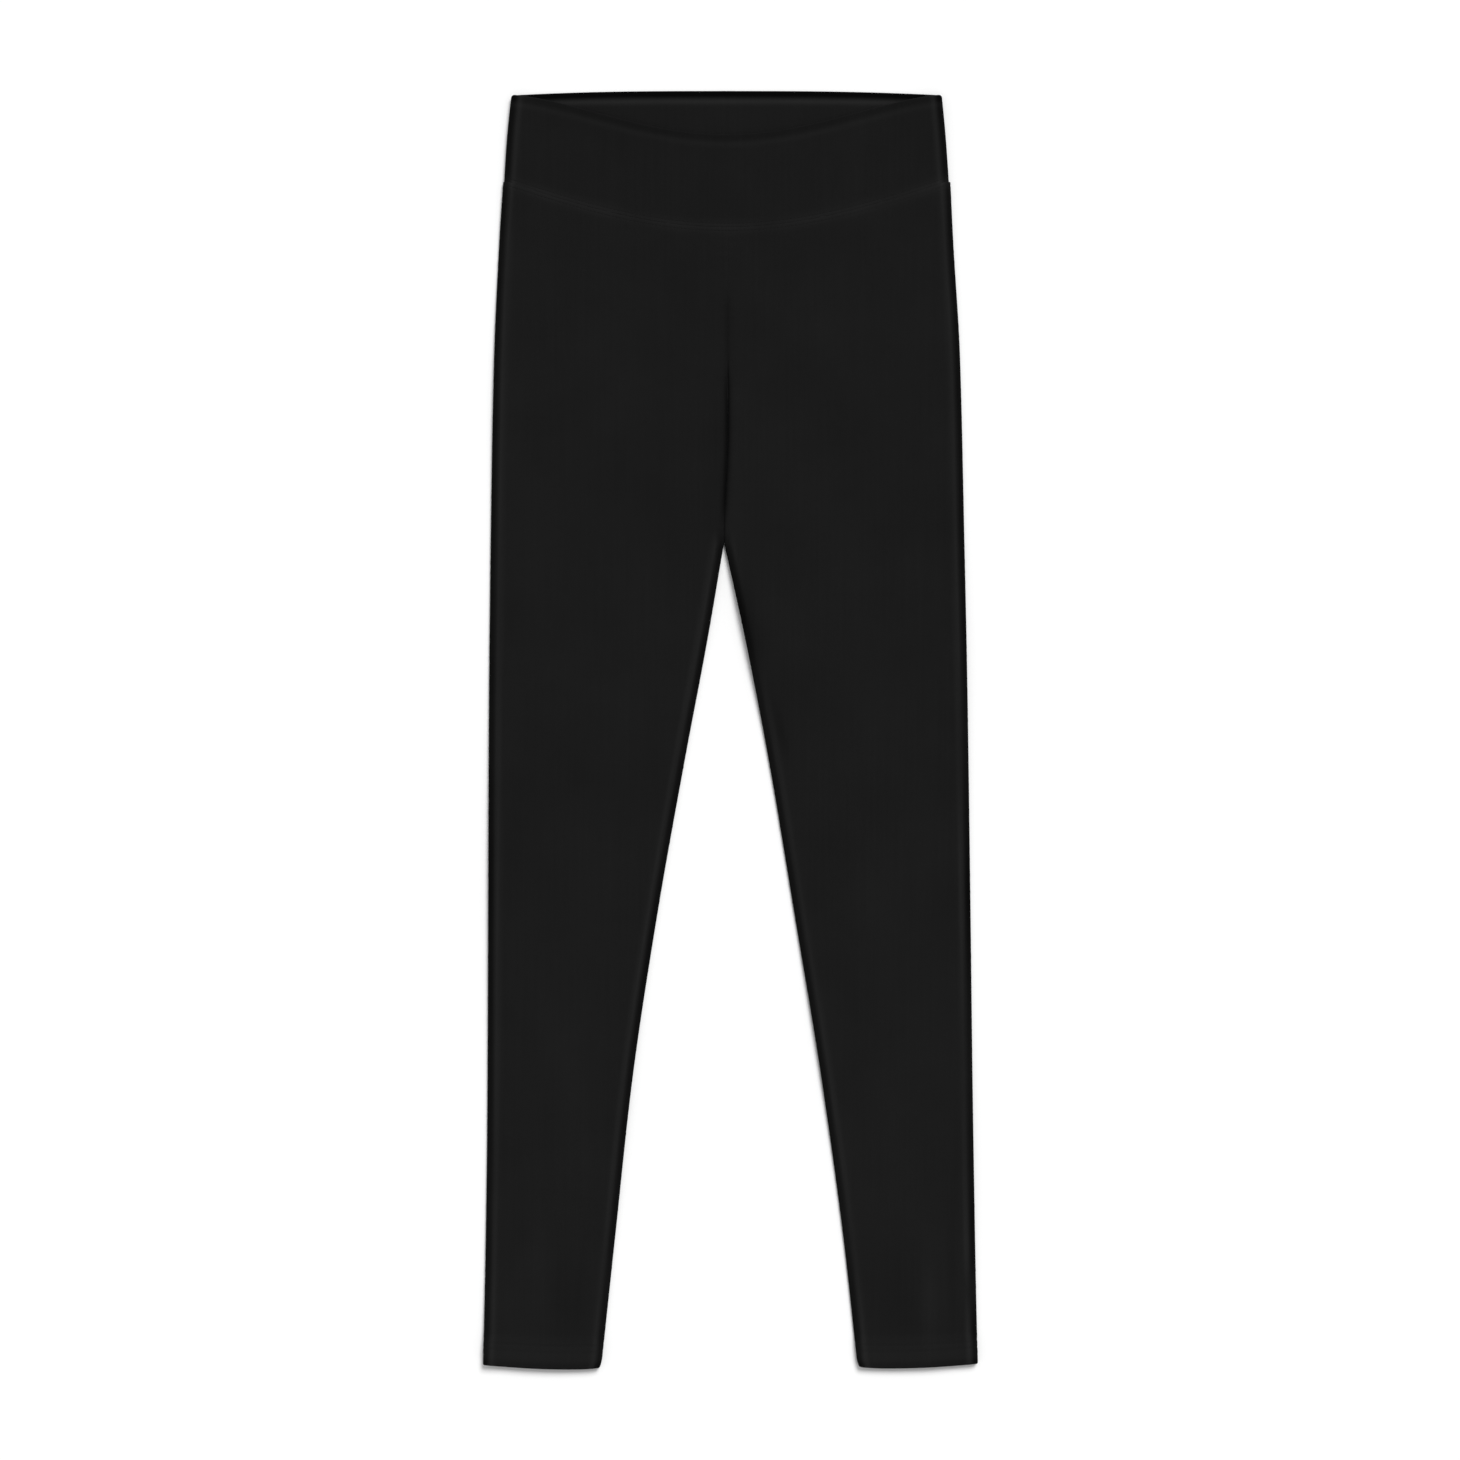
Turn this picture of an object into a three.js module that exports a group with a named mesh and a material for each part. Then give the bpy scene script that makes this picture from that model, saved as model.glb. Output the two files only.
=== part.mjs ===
import * as THREE from "three";

// Women's full-length leggings laid flat on a table, front side up.
// Millimetres. +x is the wearer's left, +y runs from the hems to the waist and +z is up from the table.
// A "down" is a distance below the back waistband's highest point, so y = garmentLength / 2 - down.

const garmentLength = 1004;
const waistSeamSide = 72; // where the waist seam meets the side seams
const crotchDown = 355;
const hemNominal = 1002;
const seamGap = 0.3; // between pieces that are sewn together
const quarterTurn = Math.PI / 2;

// The silhouette's outer edges, which are the side seams: x of each leg's at a down.
const sideSeams = [
  { at: "waist seam", down: 72, right: -178.6, left: 172.8 },
  { at: "high hip", down: 116, right: -181.5, left: 174.9 },
  { at: "hip", down: 210, right: -185.7, left: 180.4 },
  { at: "crotch", down: 355, right: -188.4, left: 183.8 },
  { at: "mid thigh", down: 500, right: -189.8, left: 186.6 },
  { at: "knee", down: 650, right: -190.3, left: 188.7 },
  { at: "calf", down: 809, right: -191.1, left: 190.6 },
  { at: "ankle", down: 920, right: -192.6, left: 192.5 },
  { at: "hem", down: 1002, right: -194.3, left: 194.3 },
];

// The silhouette's inner edges, which are the inseams.
const inseams = [
  { at: "crotch", down: 355, right: -5.1, left: -5.1 },
  { at: "upper thigh", down: 430, right: -17.9, left: 11.4 },
  { at: "mid thigh", down: 525, right: -35.8, left: 29.9 },
  { at: "knee", down: 650, right: -58, left: 50.8 },
  { at: "calf", down: 777, right: -77.1, left: 71.6 },
  { at: "ankle", down: 900, right: -90.6, left: 88.6 },
  { at: "hem", down: 1002, right: -101.5, left: 99.8 },
];

// The waistband's sides.
const waistbandSides = [
  { at: "top edge", down: 3.7, right: -172.1, left: 165.9 },
  { at: "middle", down: 37, right: -175.5, left: 169.1 },
  { at: "waist seam", down: 72, right: -177.9, left: 171.6 },
];

// The rise seam wanders a little from the middle of the waist to the crotch.
const riseSeam = { waistX: -2, crotchX: -5.1, bendStarts: 262 };

// The front rise seam sinks between the legs, and the back one only where it meets the inseams.
const riseValley = {
  front: { starts: 198, full: 262 },
  back: { starts: 310, full: crotchDown },
};

// The waistband's curves. Its front top edge dips, and the front waist seam follows it.
const waistCurves = {
  middleX: -3,
  topHalfWidth: 169,
  cornerDown: 3.7,
  frontDip: 30.9,
  dipShape: 1.5, // above 1, the dip is rounder at its ends
  frontSeamDrop: 35.2,
  backSeamDrop: 4,
  seamHalfWidth: 171.5,
  seamEasesOver: 170, // the leg's rows straighten out this far below the seam
  cornerRounding: 1.4,
};

// The cloth. Each layer's hidden face takes the extra thickness of hems and seam allowances.
// flatGap is between the two layers in the open and rimGap is at the rolled edges.
const jersey = { thickness: 1.2, flatGap: 0.5, rimGap: 1.1, rimWidth: 16 };
const doubleJersey = { thickness: 2, flatGap: 0.4, rimGap: 0.9, rimWidth: 14 };
const waistAllowance = { depth: 7, fadesOver: 6, extra: 0.7 };
const hem = { depth: 18, fadesOver: 7, extra: 0.8 };

// The hem's lower edge is lowest part of the way out from the inseam, and its inner corner is rounded off.
const hemEdge = { right: 1004, left: 1003.2, lowAt: 0.22, outerRise: 3.7, innerRise: 1.2, easesOver: 90 };
const hemCorner = { depth: 9, tuck: 1.7 };

// A folded edge thins to this share of the cloth's thickness at each inset from it.
const foldedEdge = [
  { inset: 0, share: 0.4 },
  { inset: 0.4, share: 0.8 },
  { inset: 1.2, share: 1 },
];

// The seam allowance shows through as a low ridge just below the front waist seam.
const seamRidge = { below: 3.6, width: 6.5, height: 0.4 };

// Soft folds in the top layer: x and down are the middle, turn is degrees from straight down the leg.
const softFolds = [
  { name: "left ankle ridge", x: 155, down: 957, length: 60, width: 15, height: 1.3, turn: 0 },
  { name: "right ankle drag", x: -164, down: 925, length: 90, width: 21, height: 1, turn: -22 },
  { name: "right ankle hollow", x: -138, down: 938, length: 50, width: 24, height: -0.3, turn: -10 },
  { name: "left shin ease", x: 128, down: 842, length: 120, width: 30, height: 1.1, turn: 9 },
  { name: "right shin ease", x: -126, down: 806, length: 90, width: 26, height: 1.2, turn: 4 },
  { name: "left knee ease", x: 112, down: 668, length: 150, width: 46, height: 1.6, turn: 7 },
  { name: "right knee ease", x: -122, down: 632, length: 110, width: 40, height: 1.5, turn: -12 },
  { name: "left thigh ease", x: 96, down: 452, length: 190, width: 60, height: 1.9, turn: 12 },
  { name: "right thigh ease", x: -88, down: 480, length: 150, width: 52, height: 1.7, turn: -8 },
  { name: "left hip ease", x: 62, down: 178, length: 80, width: 34, height: 1, turn: 4 },
  { name: "left calf drag", x: 138, down: 748, length: 130, width: 34, height: 1.1, turn: -24 },
  { name: "right calf drag", x: -150, down: 726, length: 150, width: 38, height: 1.2, turn: 19 },
  { name: "left thigh drag", x: 148, down: 566, length: 170, width: 44, height: 1.4, turn: -15 },
  { name: "right thigh drag", x: -142, down: 398, length: 160, width: 46, height: 1.4, turn: 16 },
  { name: "left seat hollow", x: 118, down: 316, length: 150, width: 60, height: -0.2, turn: 20 },
  { name: "right hip ease", x: -104, down: 236, length: 120, width: 44, height: 1.2, turn: -5 },
];

const gridSteps = { rise: 16, leg: 20, legFlat: 10, bandDepth: 5, bandFlat: 20, roll: 3 };
const settlingRounds = 6;
const leastTurn = 1e-4;

const mix = (a, b, t) => a + (b - a) * t;
const smooth = (t) => THREE.MathUtils.smoothstep(t, 0, 1);
const fadeOut = (distance, over) => 1 - smooth(distance / over);
const bell = (distance, width) => Math.exp(-(((2 * distance) / width) ** 2));
const steps = (count) => Array.from({ length: count + 1 }, (_, k) => k / count);

// A column of a table at a down, on a cubic whose slopes are held so that it never overshoots a row.
function along(rows, column, down) {
  const slope = (k) => (rows[k + 1][column] - rows[k][column]) / (rows[k + 1].down - rows[k].down);
  const last = rows.length - 1;
  const tangent = (k) => {
    if (k === 0) return slope(0);
    if (k === last) return slope(last - 1);
    const [before, after] = [slope(k - 1), slope(k)];
    return before * after <= 0 ? 0 : (2 * before * after) / (before + after);
  };
  const next = rows.findIndex((row) => row.down >= down);
  const k = next < 0 ? last - 1 : Math.max(0, next - 1);
  const span = rows[k + 1].down - rows[k].down;
  const t = THREE.MathUtils.clamp((down - rows[k].down) / span, 0, 1);
  const start = rows[k][column] * (1 + 2 * t) + span * tangent(k) * t;
  const end = rows[k + 1][column] * (3 - 2 * t) - span * tangent(k + 1) * (1 - t);
  return start * (1 - t) ** 2 + end * t ** 2;
}

// 0 at the waistband's middle and 1 at a half width from it or further.
const sideways = (x, half) => Math.min(1, Math.abs(x - waistCurves.middleX) / half);

function topEdgeDown(x, isFront) {
  const across = sideways(x, waistCurves.topHalfWidth);
  if (!isFront) return waistCurves.cornerDown * across ** 3;
  return waistCurves.cornerDown + waistCurves.frontDip * Math.cos(quarterTurn * across) ** waistCurves.dipShape;
}

function waistSeamDown(x, isFront) {
  const drop = isFront ? waistCurves.frontSeamDrop : waistCurves.backSeamDrop;
  return waistSeamSide + drop * Math.cos(quarterTurn * sideways(x, waistCurves.seamHalfWidth));
}

// A leg's lower edge. across is 0 at the inseam and 1 at the side seam.
function hemDown(side, across) {
  const outwards = Math.max(0, across - hemEdge.lowAt) / (1 - hemEdge.lowAt);
  const inwards = Math.max(0, hemEdge.lowAt - across) / hemEdge.lowAt;
  return hemEdge[side] - hemEdge.outerRise * outwards ** 2 - hemEdge.innerRise * inwards ** 2;
}

// The silhouette's inner edge: the rise seam as far as the crotch, then the inseam and its hem corner.
function innerEdgeX(side, down) {
  if (down > crotchDown) {
    const intoCorner = Math.max(0, down - hemEdge[side] + hemCorner.depth) / hemCorner.depth;
    const tuck = hemCorner.tuck * intoCorner ** 2;
    return along(inseams, side, down) + (side === "left" ? tuck : -tuck);
  }
  const bend = (down - riseSeam.bendStarts) / (crotchDown - riseSeam.bendStarts);
  return mix(riseSeam.waistX, riseSeam.crotchX, smooth(bend));
}

// Height that the soft folds add to the top layer: each is a bell across its line and a longer bell along it.
function foldHeight(x, down) {
  return softFolds.reduce((sum, fold) => {
    const turn = THREE.MathUtils.degToRad(fold.turn);
    const [dx, dd] = [x - fold.x, down - fold.down];
    const alongFold = dd * Math.cos(turn) + dx * Math.sin(turn);
    const acrossFold = dx * Math.cos(turn) - dd * Math.sin(turn);
    return sum + fold.height * bell(acrossFold, fold.width) * bell(alongFold, fold.length);
  }, 0);
}

// Places across a panel: on the roll down to its first edge, on the flat, then on the roll to its second.
// On a roll the share is 0 at the flat and 1 at the cloth's end.
function placesAcross(flatSteps) {
  return [
    ...steps(gridSteps.roll).slice(0, -1).map((share) => ({ on: "first", share: 1 - share })),
    ...steps(flatSteps).slice(0, -1).map((share) => ({ on: "flat", share })),
    ...steps(gridSteps.roll).map((share) => ({ on: "second", share })),
  ];
}

// A point of a panel's middle surface, in the section across it. Each edge of the section has the
// silhouette's x and the turn that the cloth makes there. With a quarter turn it meets the other layer half
// way up, and with none it ends flat.
function clothPoint(place, section) {
  const { first, second, cloth, extra, isFront, addedHeight } = section;
  const half = cloth.thickness / 2;
  const height = 2 * (cloth.thickness + extra) + cloth.rimGap;
  const rollLength = ((height - cloth.thickness - seamGap) / 2) * quarterTurn;
  const outwards = Math.sign(second.x - first.x);
  const rolled = (turn, share) => {
    const radius = rollLength / Math.max(turn, leastTurn);
    return { run: radius * Math.sin(turn * share), fall: radius * (1 - Math.cos(turn * share)) };
  };
  const inset = (edge) => rolled(edge.turn, 1).run + half * Math.sin(edge.turn);
  const flatFrom = first.x + outwards * inset(first);
  const flatTo = second.x - outwards * inset(second);
  const reaches = { out: half, back: half + extra };

  if (place.on === "flat") {
    const x = mix(flatFrom, flatTo, place.share);
    const [fromFirst, fromSecond] = [Math.abs(x - flatFrom), Math.abs(x - flatTo)];
    const rimFirst = Math.sin(first.turn) * fadeOut(fromFirst, cloth.rimWidth);
    const rimSecond = Math.sin(second.turn) * fadeOut(fromSecond, cloth.rimWidth);
    const sag = (cloth.rimGap - cloth.flatGap) * (1 - Math.max(rimFirst, rimSecond));
    const lift = addedHeight(x) * smooth(Math.min(fromFirst, fromSecond) / cloth.rimWidth);
    const z = isFront ? height - half - sag + lift : half;
    return { ...reaches, x, z, normalX: 0, normalZ: isFront ? 1 : -1 };
  }
  const [edge, start] = place.on === "first" ? [first, flatFrom] : [second, flatTo];
  const sense = place.on === "first" ? -outwards : outwards;
  const { run, fall } = rolled(edge.turn, place.share);
  const lean = edge.turn * place.share;
  const sag = (cloth.rimGap - cloth.flatGap) * (1 - Math.sin(edge.turn));
  return {
    ...reaches,
    x: start + sense * run,
    z: isFront ? height - half - sag - fall : half + fall,
    normalX: sense * Math.sin(lean),
    normalZ: isFront ? Math.cos(lean) : -Math.cos(lean),
  };
}

// A place's x depends on how far down it is, and that on the curves at its x: a few rounds find both.
function settledPoint(place, startDown, sectionAt, downAt, thicknessShare) {
  let down = startDown;
  let point;
  for (let round = 0; round < settlingRounds; round++) {
    const section = sectionAt(down);
    point = clothPoint(place, section);
    down = downAt(point.x, section);
  }
  const [out, back] = [point.out * thicknessShare, point.back * thicknessShare];
  return { ...point, out, back, y: garmentLength / 2 - down };
}

// A closed wall from rows of middle points, each with its thickness on both sides.
function clothWall(grid) {
  const [rows, columns] = [grid.length, grid[0].length];
  const positions = [];
  for (const side of ["out", "back"]) {
    for (const point of grid.flat()) {
      const reach = side === "out" ? point.out : -point.back;
      positions.push(point.x + point.normalX * reach, point.y, point.z + point.normalZ * reach);
    }
  }
  // The faces wind outwards on a top panel whose columns run towards +x, and the other way on its mirror.
  const middle = columns >> 1;
  const flip = (grid[0][columns - 1].x - grid[0][0].x) * grid[0][middle].normalZ < 0;
  const faces = [];
  const quad = (a, b, c, d) => (flip ? faces.push(a, c, b, a, d, c) : faces.push(a, b, c, a, c, d));
  const outer = (r, c) => r * columns + c;
  const inner = (r, c) => (rows + r) * columns + c;
  const [lastRow, lastColumn] = [rows - 1, columns - 1];
  for (let r = 0; r < lastRow; r++) {
    for (let c = 0; c < lastColumn; c++) {
      quad(outer(r, c), outer(r + 1, c), outer(r + 1, c + 1), outer(r, c + 1));
      quad(inner(r, c), inner(r, c + 1), inner(r + 1, c + 1), inner(r + 1, c));
    }
    quad(outer(r, 0), inner(r, 0), inner(r + 1, 0), outer(r + 1, 0));
    quad(outer(r, lastColumn), outer(r + 1, lastColumn), inner(r + 1, lastColumn), inner(r, lastColumn));
  }
  for (let c = 0; c < lastColumn; c++) {
    quad(outer(0, c), outer(0, c + 1), inner(0, c + 1), inner(0, c));
    quad(outer(lastRow, c), inner(lastRow, c), inner(lastRow, c + 1), outer(lastRow, c + 1));
  }
  const geometry = new THREE.BufferGeometry();
  geometry.setAttribute("position", new THREE.Float32BufferAttribute(positions, 3));
  geometry.setIndex(faces);
  geometry.computeVertexNormals();
  return geometry;
}

// Nominal levels down a leg, closer together at the waist seam, the crotch and the hem.
function legLevels() {
  const crowded = (t) => t - (0.8 * Math.sin(2 * Math.PI * t)) / (2 * Math.PI);
  const hemTop = hemNominal - hem.depth - hem.fadesOver;
  const rise = steps(gridSteps.rise).map((t) => mix(waistSeamSide, crotchDown, crowded(t)));
  const leg = steps(gridSteps.leg).map((t) => mix(crotchDown, hemTop, crowded(t)));
  const fading = [hemTop + hem.fadesOver / 2, hemTop + hem.fadesOver, hemNominal - hem.depth / 2];
  const edge = foldedEdge.map((row) => hemNominal - row.inset).reverse();
  return [...rise, ...leg.slice(1), ...fading, ...edge];
}

function legPanel(side, isFront) {
  const valley = isFront ? riseValley.front : riseValley.back;
  const halfGap = (side === "left" ? seamGap : -seamGap) / 2;
  const grid = legLevels().map((level) => {
    const [belowSeam, aboveHem] = [level - waistSeamSide, hemNominal - level];
    const { depth, fadesOver } = waistAllowance;
    const allowance = waistAllowance.extra * fadeOut(belowSeam - depth, fadesOver);
    const turnedUp = hem.extra * fadeOut(aboveHem - hem.depth, hem.fadesOver);
    const ridge = seamRidge.height * bell(belowSeam - seamRidge.below, seamRidge.width);
    const sectionAt = (down) => ({
      first: {
        x: innerEdgeX(side, down) + halfGap,
        turn: quarterTurn * smooth((down - valley.starts) / (valley.full - valley.starts)),
      },
      second: { x: along(sideSeams, side, down), turn: quarterTurn },
      cloth: jersey,
      extra: allowance + turnedUp,
      isFront,
      addedHeight: (x) => foldHeight(x, down) + ridge,
    });
    const downAt = (x, { first, second }) => {
      const across = THREE.MathUtils.clamp((x - first.x) / (second.x - first.x), 0, 1);
      const belowLevel = waistSeamDown(x, isFront) + seamGap / 2 - waistSeamSide;
      const seamShift = belowLevel * fadeOut(belowSeam, waistCurves.seamEasesOver);
      const hemShift = (hemDown(side, across) - hemNominal) * fadeOut(aboveHem, hemEdge.easesOver);
      return level + seamShift + hemShift;
    };
    const share = foldedEdge.find((row) => aboveHem < row.inset + seamGap)?.share ?? 1;
    const places = placesAcross(gridSteps.legFlat);
    return places.map((place) => settledPoint(place, level, sectionAt, downAt, share));
  });
  return clothWall(grid);
}

function waistbandPanel(isFront) {
  const foldDepth = foldedEdge.at(-1).inset;
  const levels = [
    ...foldedEdge.map((row) => ({ ...row, towardsSeam: 0 })),
    ...steps(gridSteps.bandDepth).slice(1).map((t) => ({ inset: foldDepth, share: 1, towardsSeam: t })),
  ];
  const grid = levels.map(({ inset, share, towardsSeam }) => {
    const sectionAt = (down) => ({
      first: { x: along(waistbandSides, "right", down), turn: quarterTurn },
      second: { x: along(waistbandSides, "left", down), turn: quarterTurn },
      cloth: doubleJersey,
      extra: 0,
      isFront,
      addedHeight: () => 0,
    });
    return placesAcross(gridSteps.bandFlat).map((place) => {
      const corner = place.on === "flat" ? 0 : waistCurves.cornerRounding * place.share ** 2;
      const downAt = (x) => {
        const from = topEdgeDown(x, isFront) + corner + inset;
        return mix(from, waistSeamDown(x, isFront) - seamGap / 2, towardsSeam);
      };
      return settledPoint(place, waistSeamSide / 2, sectionAt, downAt, share);
    });
  });
  return clothWall(grid);
}

const legCloth = new THREE.MeshStandardMaterial({ color: 0x1c1c1c, roughness: 0.95, metalness: 0 });
const bandCloth = new THREE.MeshStandardMaterial({ color: 0x1b1b1b, roughness: 0.93, metalness: 0 });

function piece(name, geometry, material) {
  const mesh = new THREE.Mesh(geometry, material);
  mesh.name = name;
  return mesh;
}

const leggings = new THREE.Group();
for (const side of ["right", "left"]) {
  leggings.add(piece(`back_${side}_leg`, legPanel(side, false), legCloth));
  leggings.add(piece(`front_${side}_leg`, legPanel(side, true), legCloth));
}
leggings.add(piece("waistband_back", waistbandPanel(false), bandCloth));
leggings.add(piece("waistband_front", waistbandPanel(true), bandCloth));

export default leggings;
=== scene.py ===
# Women's full-length leggings laid flat, front side up: black jersey legs, a wide double waistband that dips
# in front, turned-up hems and their sewing. Lengths are in millimetres until a mesh is made.
import math

import bpy
import numpy as np
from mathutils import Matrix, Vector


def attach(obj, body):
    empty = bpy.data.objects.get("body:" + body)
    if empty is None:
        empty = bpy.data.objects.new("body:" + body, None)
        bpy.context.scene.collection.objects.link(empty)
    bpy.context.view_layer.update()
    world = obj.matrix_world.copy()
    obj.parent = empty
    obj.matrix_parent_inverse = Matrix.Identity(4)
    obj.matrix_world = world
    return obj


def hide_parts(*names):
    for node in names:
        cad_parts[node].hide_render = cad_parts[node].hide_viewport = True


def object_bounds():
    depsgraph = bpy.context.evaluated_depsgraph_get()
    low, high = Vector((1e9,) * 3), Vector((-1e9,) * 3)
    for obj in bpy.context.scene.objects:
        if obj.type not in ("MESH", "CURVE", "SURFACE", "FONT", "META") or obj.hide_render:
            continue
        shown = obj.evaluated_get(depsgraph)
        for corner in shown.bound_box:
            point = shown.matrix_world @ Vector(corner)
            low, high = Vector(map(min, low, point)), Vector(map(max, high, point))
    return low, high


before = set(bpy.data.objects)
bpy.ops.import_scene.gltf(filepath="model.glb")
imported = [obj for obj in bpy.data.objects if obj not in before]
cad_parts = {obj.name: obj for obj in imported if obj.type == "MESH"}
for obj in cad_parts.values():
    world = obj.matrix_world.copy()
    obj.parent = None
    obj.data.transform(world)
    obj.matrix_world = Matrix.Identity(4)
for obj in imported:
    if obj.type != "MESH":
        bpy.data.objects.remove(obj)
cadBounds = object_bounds()
mm = 0.001
quarterTurn = math.pi / 2
bpy.context.scene.view_settings.view_transform = "Standard"

# The lay. A "down" is a distance below the back waistband's highest point. Sewn pieces run a little into
# each other, so that no light shows through a seam.
lay = {
    "topY": cadBounds[1].y / mm,
    "waistSeamSide": 72.0,
    "crotch": 355.0,
    "hem": 1002.0,
    "sewnGap": -0.1,
}

# The silhouette's outer edges, which are the side seams: x of each leg's at a down.
sideSeams = [
    {"at": "waist seam", "down": 72, "right": -178.6, "left": 172.8},
    {"at": "high hip", "down": 116, "right": -181.5, "left": 174.9},
    {"at": "hip", "down": 210, "right": -185.7, "left": 180.4},
    {"at": "crotch", "down": 355, "right": -188.4, "left": 183.8},
    {"at": "mid thigh", "down": 500, "right": -189.8, "left": 186.6},
    {"at": "knee", "down": 650, "right": -190.3, "left": 188.7},
    {"at": "calf", "down": 809, "right": -191.1, "left": 190.6},
    {"at": "ankle", "down": 920, "right": -192.6, "left": 192.5},
    {"at": "hem", "down": 1002, "right": -194.3, "left": 194.3},
]

# The silhouette's inner edges, which are the inseams.
inseams = [
    {"at": "crotch", "down": 355, "right": -5.1, "left": -5.1},
    {"at": "upper thigh", "down": 430, "right": -17.9, "left": 11.4},
    {"at": "mid thigh", "down": 525, "right": -35.8, "left": 29.9},
    {"at": "knee", "down": 650, "right": -58.0, "left": 50.8},
    {"at": "calf", "down": 777, "right": -77.1, "left": 71.6},
    {"at": "ankle", "down": 900, "right": -90.6, "left": 88.6},
    {"at": "hem", "down": 1002, "right": -101.5, "left": 99.8},
]

waistbandSides = [
    {"at": "top edge", "down": 3.7, "right": -172.1, "left": 165.9},
    {"at": "middle", "down": 37, "right": -175.5, "left": 169.1},
    {"at": "waist seam", "down": 72, "right": -177.9, "left": 171.6},
]

riseSeam = {"waistX": -2.0, "crotchX": -5.1, "bendStarts": 262.0}
riseValley = {"front": {"starts": 198.0, "full": 262.0}, "back": {"starts": 310.0, "full": lay["crotch"]}}

waistCurves = {
    "middleX": -3.0,
    "topHalfWidth": 169.0,
    "cornerDown": 3.7,
    "frontDip": 30.9,
    "dipShape": 1.5,
    "frontSeamDrop": 35.2,
    "backSeamDrop": 4.0,
    "seamHalfWidth": 171.5,
    "seamEasesOver": 170.0,
    "cornerRounding": 1.4,
}

jersey = {"thickness": 1.2, "flatGap": 0.5, "rimGap": 1.1, "rimWidth": 16.0}
doubleJersey = {"thickness": 2.0, "flatGap": 0.4, "rimGap": 0.9, "rimWidth": 14.0}
waistAllowance = {"depth": 4.0, "fadesOver": 60.0, "extra": 0.7}
turnedHem = {"depth": 18.0, "fadesOver": 7.0, "extra": 0.8}
hemEdge = {
    "right": 1004.0,
    "left": 1003.2,
    "lowAt": 0.22,
    "outerRise": 3.7,
    "innerRise": 1.2,
    "easesOver": 90.0,
}
hemCorner = {"depth": 9.0, "tuck": 1.7}
foldRadius = 1.0
leastFoldShare = 0.01
seamBulge = {"height": 0.34, "bandReach": 3.4, "legReach": 7.5, "tailHeight": 0.16, "tailReach": 19.0}

# The columns of every table of folds, creases, lifts and patches: x and down are the middle, and turn is in
# degrees from straight down the leg.
creaseColumns = ("x", "down", "length", "width", "height", "turn")


def creaseRows(*rows):
    return [dict(zip(creaseColumns, row)) for row in rows]


# Soft folds in the top layer.
softFolds = creaseRows(
    (155, 957, 60, 15, 1.3, 0),  # left ankle ridge
    (-164, 925, 90, 21, 1.0, -22),  # right ankle drag
    (-138, 938, 50, 24, -0.3, -10),  # right ankle dip
    (128, 842, 120, 30, 1.1, 9),  # left shin ease
    (-126, 806, 90, 26, 1.2, 4),  # right shin ease
    (112, 668, 150, 46, 1.6, 7),  # left knee ease
    (-122, 632, 110, 40, 1.5, -12),  # right knee ease
    (96, 452, 190, 60, 1.9, 12),  # left thigh ease
    (-88, 480, 150, 52, 1.7, -8),  # right thigh ease
    (62, 178, 80, 34, 1.0, 4),  # left hip ease
    (138, 748, 130, 34, 1.1, -24),  # left calf drag
    (-150, 726, 150, 38, 1.2, 19),  # right calf drag
    (148, 566, 170, 44, 1.4, -15),  # left thigh drag
    (-142, 398, 160, 46, 1.4, 16),  # right thigh drag
    (118, 316, 150, 60, -0.2, 20),  # left seat hollow
    (-104, 236, 120, 44, 1.2, -5),  # right hip ease
)

# Where both layers stand a little off the floor: at the hems, and along some stretches of the edges.
edgeLifts = creaseRows(
    (-150, 1010, 62, 120, 2.6, 0),  # right hem
    (146, 1010, 54, 130, 2.3, 0),  # left hem
    (-202, 985, 120, 34, 1.5, 0),  # right hem corner
    (20, 418, 124, 52, 4.4, 12),  # left inner thigh
    (62, 745, 130, 36, 1.7, 9),  # left inner calf
    (-74, 790, 160, 40, 1.6, -9),  # right inner calf
    (-198, 610, 210, 44, 2.2, 0),  # right outer knee
    (-194, 236, 130, 40, 1.5, 0),  # right outer hip
    (194, 438, 180, 46, 2.4, 0),  # left outer thigh
    (198, 842, 150, 38, 1.8, 0),  # left outer shin
    (172, 0, 70, 60, 1.8, 0),  # left top corner
    (-178, 4, 90, 52, 1.3, 0),  # right top corner
)

# Creases pressed into the underside of the backs: below the seat, behind the knees and at the ankles.
backCreases = creaseRows(
    (58, 344, 92, 9, 0.34, -66),
    (74, 366, 70, 8, 0.27, -59),
    (-52, 338, 84, 9, 0.32, 64),
    (-88, 372, 60, 8, 0.25, 70),
    (112, 628, 96, 9, 0.38, 82),
    (126, 652, 64, 8, 0.3, 96),
    (-118, 622, 82, 9, 0.36, -85),
    (-104, 646, 58, 8, 0.26, -78),
    (-134, 664, 48, 7, 0.28, -97),
    (150, 914, 40, 8, 0.3, 64),
    (-146, 902, 46, 8, 0.32, -58),
)

# Painted light and shade on a leg's front: patches a little lighter, above 0, or darker, below 0, such as the
# painted shadow below the crotch.
shadedPatches = {
    "right": creaseRows(
        (-150, 930, 90, 16, 0.4, 2),
        (-132, 955, 60, 34, -0.5, -8),
        (-118, 930, 110, 6, -0.35, -5),
        (-52, 330, 110, 34, -0.3, 8),
    ),
    "left": creaseRows(
        (9, 415, 82, 18, -2.1, 12),
        (38.5, 500, 44, 7, -1.1, 12),
        (174.5, 925, 90, 5, -0.6, 1),
        (155, 955, 60, 11, 0.7, 0),
        (134, 950, 76, 28, -0.5, 4),
    ),
}
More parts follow.
